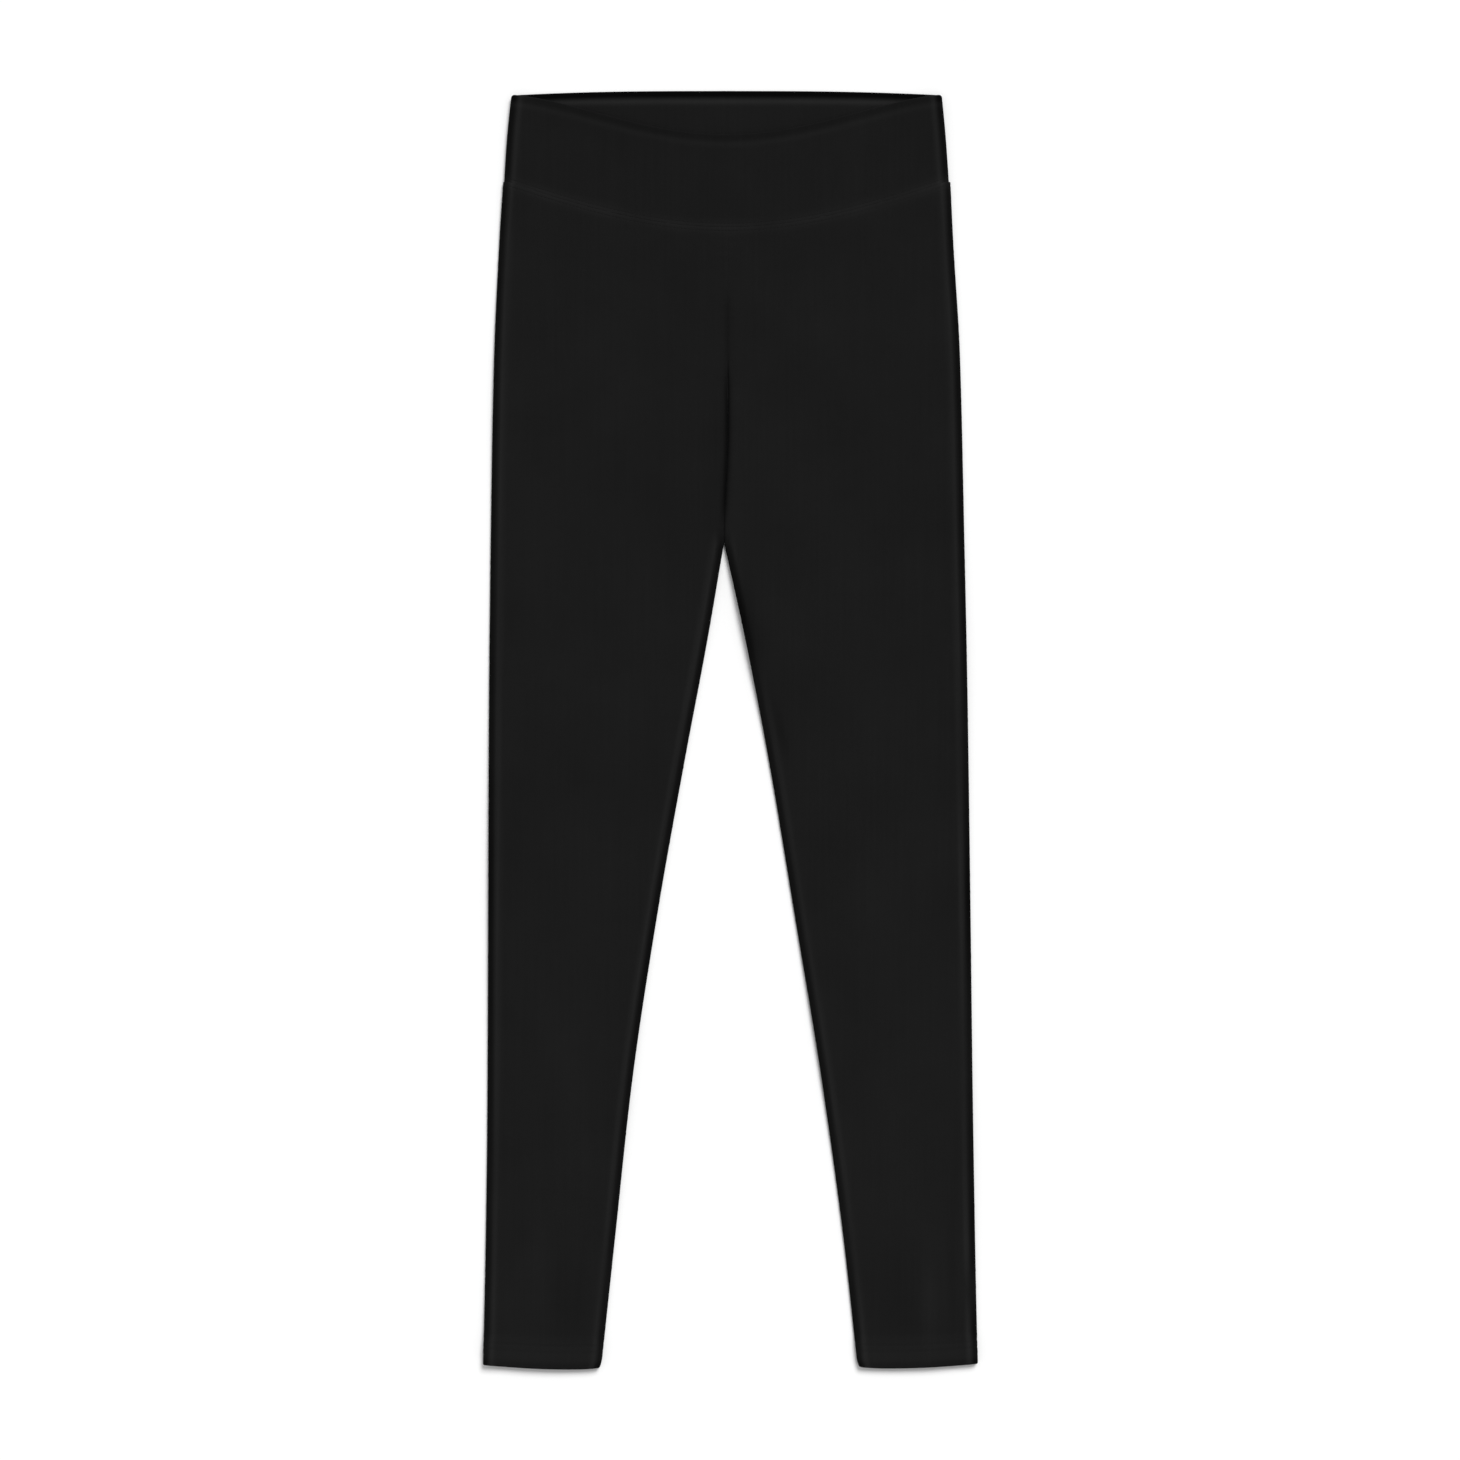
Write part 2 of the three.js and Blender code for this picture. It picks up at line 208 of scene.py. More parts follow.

# Stretches where a leg's painted edge highlight and shade are clearer, above 0, or fainter, below 0.
paintedEdgeStrength = {
    "right": creaseRows(
        (-189, 402, 110, 60, -0.25, 0),
        (-191, 628, 90, 60, 0.2, 0),
        (-193, 846, 70, 60, -0.3, 0),
        (-24, 440, 100, 60, 0.2, -13),
        (-66, 690, 110, 60, 0.2, -10),
        (-96, 934, 64, 50, -0.4, -6),
    ),
    "left": creaseRows(
        (186, 408, 90, 60, 0.2, 0),
        (187, 518, 80, 60, -0.45, 0),
        (189, 628, 90, 60, 0.45, 0),
        (191, 768, 110, 60, -0.5, 0),
        (192, 893, 50, 60, 0.45, 0),
        (193, 941, 30, 60, -0.75, 0),
        (194, 978, 30, 60, 0.4, 0),
        (14, 432, 150, 60, -0.95, 12),
        (54, 640, 240, 60, -0.3, 11),
        (88, 905, 90, 40, -0.6, 7),
    ),
}

# Finer creases that only show close to: the drag round the crotch, the hips and the knees, each of its own
# size.
fineCreases = creaseRows(
    (20, 318, 60, 7, 0.16, -52),
    (27, 336, 74, 8, -0.14, -47),
    (-30, 322, 66, 7, 0.15, 50),
    (-38, 343, 58, 9, -0.13, 43),
    (33, 372, 52, 8, 0.12, -30),
    (-41, 384, 64, 7, 0.13, 27),
    (150, 138, 46, 8, 0.12, 62),
    (-152, 132, 54, 9, 0.12, -58),
    (74, 640, 44, 9, 0.12, 71),
    (92, 662, 62, 8, -0.12, 66),
    (-84, 628, 50, 8, 0.13, -69),
    (-96, 655, 40, 10, -0.11, -75),
    (104, 905, 38, 7, 0.13, 40),
    (176, 930, 30, 6, 0.14, -12),
    (-112, 912, 42, 8, 0.12, -34),
    (-180, 880, 56, 7, 0.13, 8),
)

# Wide, faint waves of cloth that was smoothed by hand: wavelengths across and down, and each wave's start.
easeWaves = [
    {"across": 118.0, "along": 310.0, "start": 0.4, "height": 0.07},
    {"across": -74.0, "along": 205.0, "start": 2.1, "height": 0.06},
    {"across": 52.0, "along": 143.0, "start": 4.0, "height": 0.045},
    {"across": -39.0, "along": 470.0, "start": 1.2, "height": 0.04},
    {"across": 260.0, "along": 88.0, "start": 5.3, "height": 0.05},
]

# The gather that sewing leaves beside a seam: it fades over the reach, and its waves are uneven. Insets are
# of its middle from the edge. The outer seam and the hem stretch and shift the waves, so no two are alike.
puckers = {
    "height": 0.13,
    "reach": 7.0,
    "waves": (6.7, 9.3),
    "waveShares": (0.6, 0.4),
    "wander": 48.4,
    "wanderBy": 0.9,
    "swell": 57.0,
    "swellBy": 0.38,
    "waistInset": 3.0,
    "hemInset": 16.0,
    "outerRun": (0.93, 5.0),
    "hemRun": (1.07, 3.0),
    "sidesEaseIn": 4.0,
}

settlingRounds = 6  # a point's place down and its x depend on each other, and settle in these
leastTurn = 1e-4
spacingSamples = 4001
stepReach = {"across": 9, "down": 10}  # how far from an end the grid's steps widen


def smooth(t):
    # 0 below 0, 1 above 1, and a cubic without corners between
    t = np.clip(t, 0, 1)
    return t * t * (3 - 2 * t)


def fadeOut(distance, over):
    return 1 - smooth(distance / over)


def bell(distance, width):
    # 1 at the middle, falling as a Gaussian, to about a third at half the width
    return np.exp(-((2 * distance / width) ** 2))


def along(rows, column, down):
    # a cubic through the rows of a table, with its slopes held so that it never overshoots one
    at = np.array([row["down"] for row in rows], float)
    value = np.array([row[column] for row in rows], float)
    step = np.diff(at)
    slope = np.diff(value) / step
    product, total = slope[:-1] * slope[1:], slope[:-1] + slope[1:]
    inner = np.where(product > 0, 2 * product / np.where(product > 0, total, 1), 0)
    tangent = np.concatenate([slope[:1], inner, slope[-1:]])
    k = np.clip(np.searchsorted(at, down) - 1, 0, len(step) - 1)
    t = np.clip((down - at[k]) / step[k], 0, 1)
    start = value[k] * (1 + 2 * t) + step[k] * tangent[k] * t
    end = value[k + 1] * (3 - 2 * t) - step[k] * tangent[k + 1] * (1 - t)
    return start * (1 - t) ** 2 + end * t ** 2


def gradedSteps(length, endStep, midStep, reach):
    # places from 0 to length, endStep apart at both ends and widening to midStep over the reach
    fine = np.linspace(0, length, spacingSamples)
    spacing = midStep - (midStep - endStep) * np.exp(-np.minimum(fine, length - fine) / reach)
    count = np.concatenate([[0], np.cumsum(np.diff(fine) * 2 / (spacing[1:] + spacing[:-1]))])
    return np.interp(np.linspace(0, count[-1], int(round(count[-1])) + 1), count, fine)


def sideways(x, half):
    # the share of the way from the middle to a side
    return np.minimum(1, np.abs(x - waistCurves["middleX"]) / half)


def topEdgeDown(x, isFront):
    # the back top edge is level but for its corners, and the front one dips as a power of a cosine's crest
    across = sideways(x, waistCurves["topHalfWidth"])
    if not isFront:
        return waistCurves["cornerDown"] * across ** 3
    dip = np.cos(quarterTurn * across) ** waistCurves["dipShape"]
    return waistCurves["cornerDown"] + waistCurves["frontDip"] * dip


def waistSeamDown(x, isFront):
    # a quarter cosine wave from the middle out to each side
    drop = waistCurves["frontSeamDrop"] if isFront else waistCurves["backSeamDrop"]
    return lay["waistSeamSide"] + drop * np.cos(quarterTurn * sideways(x, waistCurves["seamHalfWidth"]))


def hemDown(side, across):
    # lowest part of the way out from the inseam, and rising as a parabola to each side of that
    outwards = np.maximum(0, across - hemEdge["lowAt"]) / (1 - hemEdge["lowAt"])
    inwards = np.maximum(0, hemEdge["lowAt"] - across) / hemEdge["lowAt"]
    return hemEdge[side] - hemEdge["outerRise"] * outwards ** 2 - hemEdge["innerRise"] * inwards ** 2


def innerEdgeX(side, down):
    # the rise seam as far as the crotch, then the inseam, which tucks in at the hem's corner
    intoCorner = np.maximum(0, down - hemEdge[side] + hemCorner["depth"]) / hemCorner["depth"]
    tuck = hemCorner["tuck"] * intoCorner ** 2 * (1 if side == "left" else -1)
    bend = smooth((down - riseSeam["bendStarts"]) / (lay["crotch"] - riseSeam["bendStarts"]))
    rise = riseSeam["waistX"] + (riseSeam["crotchX"] - riseSeam["waistX"]) * bend
    return np.where(down > lay["crotch"], along(inseams, side, down) + tuck, rise)


def creaseHeight(creases, x, down):
    # each crease is a bell across its line times a longer bell along it
    height = np.zeros(np.broadcast(x, down).shape)
    for crease in creases:
        turn = math.radians(crease["turn"])
        dx, dd = x - crease["x"], down - crease["down"]
        alongIt = dd * math.cos(turn) + dx * math.sin(turn)
        acrossIt = dx * math.cos(turn) - dd * math.sin(turn)
        height += crease["height"] * bell(acrossIt, crease["width"]) * bell(alongIt, crease["length"])
    return height


def easeHeight(x, down):
    # a sum of slanted sine waves
    return sum(
        wave["height"] * np.sin(2 * math.pi * (x / wave["across"] + down / wave["along"]) + wave["start"])
        for wave in easeWaves
    )


def bulgeHeight(distance, reach):
    # the waist seam's allowances lift the cloth on both sides of it: a narrow Gaussian on a wide one
    narrow = seamBulge["height"] * np.exp(-((distance / seamBulge[reach]) ** 2))
    return narrow + seamBulge["tailHeight"] * np.exp(-((distance / seamBulge["tailReach"]) ** 2))


def puckerHeight(distance, run):
    # two short sine waves along the seam, their phases wandering apart, that swell and fade along the run
    first, second = puckers["waves"]
    firstShare, secondShare = puckers["waveShares"]
    drift = puckers["wanderBy"] * np.sin(2 * math.pi * run / puckers["wander"])
    waves = firstShare * np.sin(2 * math.pi * run / first + drift)
    waves = waves + secondShare * np.sin(2 * math.pi * run / second - 2 * drift)
    swell = 1 - puckers["swellBy"] + puckers["swellBy"] * np.sin(2 * math.pi * run / puckers["swell"])
    return puckers["height"] * waves * swell * np.exp(-((distance / puckers["reach"]) ** 2))


def clothSection(zone, share, firstX, firstTurn, secondX, cloth, extra, added=None):
    # A panel's middle surface in the section across it: a circular roll down to each edge and a flat
    # between. The zone is -1 on the first edge's roll, 0 on the flat and 1 on the second edge's roll, and on
    # a roll the share is 0 at the flat and 1 at the cloth's end. Heights are for a top layer, and falls for
    # both. Near an edge that turns down, the cloth is held, so what is added to its height fades there.
    half = cloth["thickness"] / 2
    height = 2 * (cloth["thickness"] + extra) + cloth["rimGap"]
    rollLength = (height - cloth["thickness"] - lay["sewnGap"]) / 2 * quarterTurn
    outwards = np.sign(secondX - firstX)
    firstRadius = rollLength / firstTurn
    secondRadius = rollLength / quarterTurn
    flatFrom = firstX + outwards * (firstRadius + half) * np.sin(firstTurn)
    flatTo = secondX - outwards * (secondRadius + half)
    flatWidth = np.abs(flatTo - flatFrom)
    lean = np.where(zone == 0, 0, share * np.where(zone < 0, firstTurn, quarterTurn))
    radius = np.where(zone < 0, firstRadius, secondRadius)
    run = radius * np.sin(lean)
    onFlat = flatFrom + (flatTo - flatFrom) * share
    x = np.where(zone == 0, onFlat, np.where(zone < 0, flatFrom - outwards * run, flatTo + outwards * run))
    clothFrom = np.where(zone < 0, -share * rollLength, flatWidth * share)
    clothFrom = np.where(zone > 0, flatWidth + share * rollLength, clothFrom)
    fromFirst = clothFrom + rollLength
    fromSecond = flatWidth + rollLength - clothFrom
    rimFirst = np.sin(firstTurn) * fadeOut(fromFirst - rollLength, cloth["rimWidth"])
    rimSecond = fadeOut(fromSecond - rollLength, cloth["rimWidth"])
    sag = (cloth["rimGap"] - cloth["flatGap"]) * (1 - np.maximum(rimFirst, rimSecond))
    heldFirst = np.sin(firstTurn) * fadeOut(fromFirst - rollLength, 2 * cloth["rimWidth"])
    heldSecond = fadeOut(fromSecond - rollLength, cloth["rimWidth"])
    openness = 1 - np.maximum(heldFirst, heldSecond)
    raised = 0 if added is None else openness * added(x)
    return {
        "x": x,
        "top": height - half - sag + raised,
        "fall": radius * (1 - np.cos(lean)),
        "lean": lean,
        "sense": np.where(zone < 0, -outwards, outwards),
        "clothX": flatFrom + outwards * clothFrom,
        "fromFirst": fromFirst,
        "fromSecond": fromSecond,
        "openness": openness,
        "half": half,
        "extra": extra,
        "rollLength": rollLength,
    }


def laidOut(section, isFront, down, thin):
    # the section's place in the lay: middle points, normals and the cloth's reach on both sides of them
    middleZ = section["top"] - section["fall"] if isFront else section["half"] + section["fall"]
    section.update(
        down=down + 0 * section["x"],
        middleZ=middleZ,
        normalX=section["sense"] * np.sin(section["lean"]),
        normalZ=np.cos(section["lean"]) * (1 if isFront else -1),
        out=section["half"] * thin,
        back=(section["half"] + section["extra"]) * thin,
    )
    return section


def foldThinning(inset):
    # a folded edge is a half circle: its half thickness at an inset, as a share of the full one
    return np.sqrt(np.clip(1 - (1 - np.minimum(inset, foldRadius) / foldRadius) ** 2, leastFoldShare, 1))


def legSurface(side, isFront, zone, share, level):
    # a leg panel at places across it and at nominal levels down it, which bend to the waist seam and the hem:
    # the extra height is the seam allowance's and the turned-up hem's
    valley = riseValley["front" if isFront else "back"]
    halfGap = lay["sewnGap"] / 2 * (1 if side == "left" else -1)
    belowSeam, aboveHem = level - lay["waistSeamSide"], lay["hem"] - level
    pastAllowance = belowSeam - waistAllowance["depth"]
    allowance = waistAllowance["extra"] * fadeOut(pastAllowance, waistAllowance["fadesOver"])
    turnedUp = turnedHem["extra"] * fadeOut(aboveHem - turnedHem["depth"], turnedHem["fadesOver"])
    down = level + 0 * share
    for _ in range(settlingRounds):
        firstX = innerEdgeX(side, down) + halfGap
        secondX = along(sideSeams, side, down)
        firstTurn = quarterTurn * smooth((down - valley["starts"]) / (valley["full"] - valley["starts"]))
        firstTurn = np.maximum(leastTurn, firstTurn)
        section = clothSection(
            zone,
            share,
            firstX,
            firstTurn,
            secondX,
            jersey,
            allowance + turnedUp,
            lambda x: creaseHeight(softFolds, x, down) + bulgeHeight(belowSeam, "legReach"),
        )
        across = np.clip((section["x"] - firstX) / (secondX - firstX), 0, 1)
        belowLevel = waistSeamDown(section["x"], isFront) + lay["sewnGap"] / 2 - lay["waistSeamSide"]
        seamShift = belowLevel * fadeOut(belowSeam, waistCurves["seamEasesOver"])
        hemShift = (hemDown(side, across) - lay["hem"]) * fadeOut(aboveHem, hemEdge["easesOver"])
        down = level + seamShift + hemShift
    section = laidOut(section, isFront, down, foldThinning(aboveHem))
    section.update(belowSeam=belowSeam, aboveHem=aboveHem, firstTurn=firstTurn)
    return legRelief(section, side, isFront)


# What sewing does to the surface. Rows are the distances of the needle's lines from the seam or edge.
sewing = {
    "waistRow": 2.9,
    "hemRows": (13.6, 18.6),
    "rowWidth": 1.6,
    "rowDepth": 0.1,
    "underRowDepth": 0.34,
    "waistDip": 0.12,
    "riseDip": 0.45,
    "dipReach": 0.7,
    "riseFaintTo": 195.0,
    "riseClearFrom": 250.0,
    "riseFaintShare": 0.12,
    "riseTrough": 0.5,
    "riseTroughReach": 4.5,
    "riseSink": 0.5,
    "riseSinkReach": 7.0,
    "riseSoftFrom": 150.0,
    "riseSoftOver": 50.0,
    "riseSoftShare": 0.55,
    "riseSunkEndsAbove": 45.0,
    "riseSunkEndsOver": 60.0,
    "creasesEaseIn": 14.0,
    "backCreasesEaseIn": 24.0,
}

# Painted light and shade in the cloth's colour: painted highlights over the waist seam, on the hems, on folds'
# crests, down the lower legs and just inside the folded edges, and painted shade round the edge itself and at
# the rise seam.
rubbed = {
    "seam": 1.2,
    "seamInset": 0.5,
    "seamWidth": 10.0,
    "seamSides": 0.45,
    "seamUneven": 0.4,
    "seamWaves": (211.0, 67.0),
    "seamWaveStarts": (0.6, 2.0),
    "hem": 0.6,
    "hemFade": 2.5,
    "crest": 0.15,
    "edge": 2.3,
    "edgeInset": 7.2,
    "edgeWidth": 4.4,
    "turnedEdgeShade": -2.8,
    "turnedReach": 5.4,
    "hemEdgeShare": 0.5,
    "topShare": 1.6,
    "dipShare": 0.38,
    "shin": 0.3,
    "shinFrom": 560.0,
    "shinOver": 330.0,
    "inseamFromAbove": 12.0,
    "inseamOver": 18.0,
    "rise": 0.3,
    "riseWidth": 5.0,
    "riseFadesFrom": 128.0,
    "riseFadesOver": 45.0,
    # painted shade in the rise seam's groove, and painted shade and light on its two banks
    "riseGrooveShade": -3.2,
    "riseGrooveWidth": 5.4,
    "riseBankShading": {"right": -0.45, "left": 0.3},
    "riseBankWidth": 34.0,
    "riseSoft": 0.3,
    "riseSoftOver": 22.0,
    "grooveEnds": 324.0,
    "grooveEndsOver": 20.0,
    "grooveEndShare": 0.3,
}


def edgeShadeBell(distance):
    # painted shade: a flat-topped bell at the edge, where the cloth turns away
    return rubbed["turnedEdgeShade"] * np.exp(-((distance / rubbed["turnedReach"]) ** 4))


def edgeShading(distance, strength=1):
    # the painted highlight inside an edge and the painted shade on it, which goes with half the strength
    edgePainting = rubbed["edge"] * bell(distance - rubbed["edgeInset"], rubbed["edgeWidth"])
    return strength * edgePainting + (1 + strength) / 2 * edgeShadeBell(distance)


def seamHighlight(distance, x):
    # a painted highlight: a bell across the waist seam, with a slow wave times a shorter one along it for
    # unevenness, and more of it towards the sides
    first, second = rubbed["seamWaves"]
    firstStart, secondStart = rubbed["seamWaveStarts"]
    waves = np.sin(2 * math.pi * x / first + firstStart) * np.sin(2 * math.pi * x / second + secondStart)
    outwards = rubbed["seamSides"] * sideways(x, waistCurves["seamHalfWidth"]) ** 3
    strength = 1 + rubbed["seamUneven"] * waves + outwards
    return rubbed["seam"] * bell(distance, rubbed["seamWidth"]) * strength


def rowGroove(distance, rows, depth):
    # a narrow trough along each line of stitches
    return depth * sum(bell(distance - row, sewing["rowWidth"]) for row in rows)


def seamDip(distance, depth):
    # both edges of a seam turn in, exponentially with the distance from it
    return depth * np.exp(-distance / sewing["dipReach"])


def legRelief(leg, side, isFront):
    # Bend moves both faces of the cloth, and press only the outer one, inwards where it is negative.
    x, down = leg["clothX"], leg["down"]
    belowSeam, aboveHem = leg["belowSeam"], leg["aboveHem"]
    faint, clear = sewing["riseFaintTo"], sewing["riseClearFrom"]
    faintShare = sewing["riseFaintShare"]
    riseShare = faintShare + (1 - faintShare) * smooth((down - faint) / (clear - faint))
    rise = seamDip(leg["fromFirst"], sewing["riseDip"] * riseShare * np.cos(leg["firstTurn"]))
    rowDepth = sewing["rowDepth" if isFront else "underRowDepth"]
    press = -np.maximum(seamDip(belowSeam, sewing["waistDip"]), rise)
    press = press - rowGroove(belowSeam, [sewing["waistRow"]], rowDepth)
    press = press - rowGroove(aboveHem, sewing["hemRows"], rowDepth)
    if isFront:
        bend = frontBend(leg) - riseTrough(leg)
    else:
        bend = 0 * x
        pressed = creaseHeight(backCreases, x, down) * smooth(aboveHem / sewing["backCreasesEaseIn"])
        press = press - pressed * leg["openness"]
    # the painted light and shade of this panel
    rub = legShading(leg, side, isFront)
    leg.update(bend=bend, press=press + 0 * x, innerPress=0 * x, rub=rub + 0 * x)
    return leg


def frontBend(leg):
    # fine creases and waves that ease in past the sewn ends, and the gathers beside all the seams
    x, down = leg["clothX"], leg["down"]
    belowSeam, aboveHem = leg["belowSeam"], leg["aboveHem"]
    easeIn, sidesEaseIn = sewing["creasesEaseIn"], puckers["sidesEaseIn"]
    outerStretch, outerShift = puckers["outerRun"]
    hemStretch, hemShift = puckers["hemRun"]
    bend = creaseHeight(fineCreases, x, down) + easeHeight(x, down)
    bend = bend * leg["openness"] * smooth(belowSeam / easeIn) * smooth(aboveHem / easeIn)
    bend = bend + puckerHeight(belowSeam - puckers["waistInset"], x)
    bend = bend + puckerHeight(aboveHem - puckers["hemInset"], x * hemStretch + hemShift)
    nearEnds = smooth(belowSeam / sidesEaseIn) * smooth(aboveHem / sidesEaseIn)
    sides = puckerHeight(leg["fromFirst"], down)
    sides = sides + puckerHeight(leg["fromSecond"], down * outerStretch + outerShift)
    return bend + sides * nearEnds


def riseTrough(leg):
    # The rise seam sinks towards the crotch: the cloth's middle by a wide Gaussian, which is done here, and the
    # trough at the seam by a narrow one, which is returned.
    pastRoll = np.maximum(0, leg["fromFirst"] - leg["rollLength"])
    softly = smooth((leg["down"] - sewing["riseSoftFrom"]) / sewing["riseSoftOver"])
    fromEnd = leg["down"] - lay["crotch"] + sewing["riseSunkEndsAbove"]
    sunk = np.maximum(np.sin(leg["firstTurn"]), sewing["riseSoftShare"] * softly)
    sunk = sunk * fadeOut(fromEnd, sewing["riseSunkEndsOver"])
    sink = sewing["riseSink"] * np.exp(-((pastRoll / sewing["riseSinkReach"]) ** 2))
    leg["middleZ"] = leg["middleZ"] - sunk * sink
    trough = sewing["riseTrough"] * np.exp(-((pastRoll / sewing["riseTroughReach"]) ** 2))
    return sunk * trough * np.cos(leg["lean"])


def legShading(leg, side, isFront):
    # the sum of the painted light, above 0, and the painted shade, below 0: seams, hem, edges, folds' crests
    # and patches
    x, down = leg["clothX"], leg["down"]
    aboveHem, fromFirst = leg["aboveHem"], leg["fromFirst"]
    folded = np.sin(leg["firstTurn"])
    # a painted highlight over the turned-up hem
    overHem = sewing["hemRows"][1] + rubbed["hemFade"] / 2 - aboveHem
    hem = rubbed["hem"] * smooth(overHem / rubbed["hemFade"])
    isInseam = smooth((down - lay["crotch"] + rubbed["inseamFromAbove"]) / rubbed["inseamOver"])
    # painted shade in the rise seam's groove, and painted shade on one bank of it and painted light on the
    # other
    bankShading = rubbed["riseBankShading"][side] * bell(fromFirst, rubbed["riseBankWidth"])
    ended = (1 - rubbed["grooveEndShare"]) * smooth((down - rubbed["grooveEnds"]) / rubbed["grooveEndsOver"])
    grooveShade = rubbed["riseGrooveShade"] * (1 - ended) * bell(fromFirst, rubbed["riseGrooveWidth"])
    softShare = rubbed["riseSoft"] * smooth((down - sewing["riseSoftFrom"]) / rubbed["riseSoftOver"])
    besideRise = (bankShading + grooveShade) * np.maximum(folded, softShare)
    # how clear the painted edge highlight and shade are along this stretch
    edgePainting = 1 + creaseHeight(paintedEdgeStrength[side], x, down)
    inside = isInseam * folded * edgeShading(fromFirst, edgePainting) + (1 - isInseam) * besideRise * isFront
    # painted shade round the hem's folded edge
    hemEdgeShade = rubbed["hemEdgeShare"] * edgeShadeBell(aboveHem)
    edges = edgeShading(leg["fromSecond"], edgePainting) + inside + hemEdgeShade
    # painted light and shade in patches
    patches = creaseHeight(shadedPatches[side], x, down) * isFront
    # painted highlights on the soft folds' crests
    crestHighlights = rubbed["crest"] * creaseHeight(softFolds, x, down) * isFront
    # a little lighter beside the top of the rise seam, and painted light down the lower legs
    onRise = rubbed["rise"] * bell(fromFirst, rubbed["riseWidth"]) * isFront
    onRise = onRise * fadeOut(down - rubbed["riseFadesFrom"], rubbed["riseFadesOver"])
    shins = rubbed["shin"] * smooth((down - rubbed["shinFrom"]) / rubbed["shinOver"])
    # the painted highlight along the waist seam's ridge
    seam = seamHighlight(leg["belowSeam"] - rubbed["seamInset"], x)
    return seam + hem + edges + patches + crestHighlights + onRise + shins


# The waistband: its own sewing and the seam at the middle of its back, which shows inside above the front.
bandSewing = {
    "depth": 67.0,
    "backSeamX": -3.0,
    "backSeamDepth": 0.55,
    "backSeamWidth": 1.5,
    "backSeamAtTop": 0.45,
    "backSeamFullFrom": 3.0,
    "backSeamUnderShare": 0.6,
    "allowanceWidth": 6.5,
    "allowanceHeight": 0.22,
    "foldLine": 5.5,
    "foldLineWidth": 5.0,
    "foldLineDepth": 0.06,
    "dipLift": 0.9,
    "dipLiftReach": 11.0,
    "easeStretch": (1.3, 1.4),
    "easeShift": 40.0,
    "easeShare": 0.7,
    "easeFromTop": 8.0,
    "easeFromSeam": 10.0,
}


def waistbandSurface(isFront, zone, share, inset):
    # the band at places across it and at insets from its top edge, stretched a little to reach the waist seam
    down = inset + 0 * share
    for _ in range(settlingRounds):
        firstX = along(waistbandSides, "right", down)
        secondX = along(waistbandSides, "left", down)
        section = clothSection(zone, share, firstX, quarterTurn + 0 * down, secondX, doubleJersey, 0)
        corner = np.where(zone == 0, 0, waistCurves["cornerRounding"] * share ** 2)
        top = topEdgeDown(section["x"], isFront) + corner
        seam = waistSeamDown(section["x"], isFront) - lay["sewnGap"] / 2
        down = top + (seam - top) * inset / bandSewing["depth"]
    section = laidOut(section, isFront, down, foldThinning(inset))
    toSeam = seam - down
    x, openness = section["clothX"], section["openness"]
    rowDepth = sewing["rowDepth" if isFront else "underRowDepth"]
    press = -seamDip(toSeam, sewing["waistDip"]) - rowGroove(toSeam, [sewing["waistRow"]], rowDepth)
    foldLine = bandSewing["foldLineDepth"] * bell(inset - bandSewing["foldLine"], bandSewing["foldLineWidth"])
    if isFront:
        easeIn = smooth(inset / bandSewing["easeFromTop"]) * smooth(toSeam / bandSewing["easeFromSeam"])
        stretchX, stretchDown = bandSewing["easeStretch"]
        ease = easeHeight(x * stretchX + bandSewing["easeShift"], down * stretchDown)
        bend = bandSewing["easeShare"] * ease * openness * easeIn - foldLine
        bend = bend + bulgeHeight(toSeam, "bandReach") * openness
        bend = bend + puckerHeight(toSeam + puckers["waistInset"], x)
        dipLift = bandSewing["dipLift"] * np.exp(-((inset / bandSewing["dipLiftReach"]) ** 2))
        bend = bend + dipLift * openness
        innerPress = 0 * x
    else:
        fromMiddle = x - bandSewing["backSeamX"]
        atTop = bandSewing["backSeamAtTop"]
        grown = atTop + (1 - atTop) * smooth(inset / bandSewing["backSeamFullFrom"])
        backSeam = bandSewing["backSeamDepth"] * bell(fromMiddle, bandSewing["backSeamWidth"]) * grown
        underAllowances = np.exp(-((fromMiddle / bandSewing["allowanceWidth"]) ** 6))
        bend = 0 * x
        innerPress = bandSewing["allowanceHeight"] * underAllowances - backSeam - foldLine
        press = press - backSeam * bandSewing["backSeamUnderShare"]
    # painted highlights inside the band's edges and painted shade on them, and the painted highlight over the
    # waist seam
    rub = edgeShading(section["fromSecond"]) + edgeShading(section["fromFirst"])
    rub = rub + edgeShading(inset) * rubbed["dipShare" if isFront else "topShare"]
    rub = rub + seamHighlight(toSeam + rubbed["seamInset"], x)
    section.update(bend=bend, press=press + 0 * x, innerPress=innerPress, rub=rub + 0 * x)
    return section


def faces(surface):
    # the outer and inner faces of a wall, as grids of points in metres
    outer = surface["out"] + surface["bend"] + surface["press"]
    inner = surface["back"] - surface["bend"] + surface["innerPress"]
    y = lay["topY"] - surface["down"]
    lift = creaseHeight(edgeLifts, surface["x"], surface["down"])
    grids = []
    for reach in (outer, -inner):
        x = surface["x"] + surface["normalX"] * reach
        z = surface["middleZ"] + surface["normalZ"] * reach + lift
        grids.append(np.stack([x, y, z], axis=-1) * mm)
    return grids


def newMesh(name, points, polygons, uv=None, rub=None):
    mesh = bpy.data.meshes.new(name)
    mesh.from_pydata(points.tolist(), [], polygons if isinstance(polygons, list) else polygons.tolist())
    mesh.polygons.foreach_set("use_smooth", np.ones(len(mesh.polygons), bool))
    if uv is not None:
        corner = np.empty(len(mesh.loops), np.int32)
        mesh.loops.foreach_get("vertex_index", corner)
        layer = mesh.uv_layers.new(name="cloth")
        layer.data.foreach_set("uv", uv[corner].astype(np.float32).ravel())
    # the painted light and shade, kept as a point attribute that lightens or darkens the cloth's colour
    if rub is not None:
        mesh.attributes.new("rub", "FLOAT", "POINT").data.foreach_set("value", rub.astype(np.float32))
    mesh.update()
    piece = bpy.data.objects.new(name, mesh)
    bpy.context.scene.collection.objects.link(piece)
    return piece


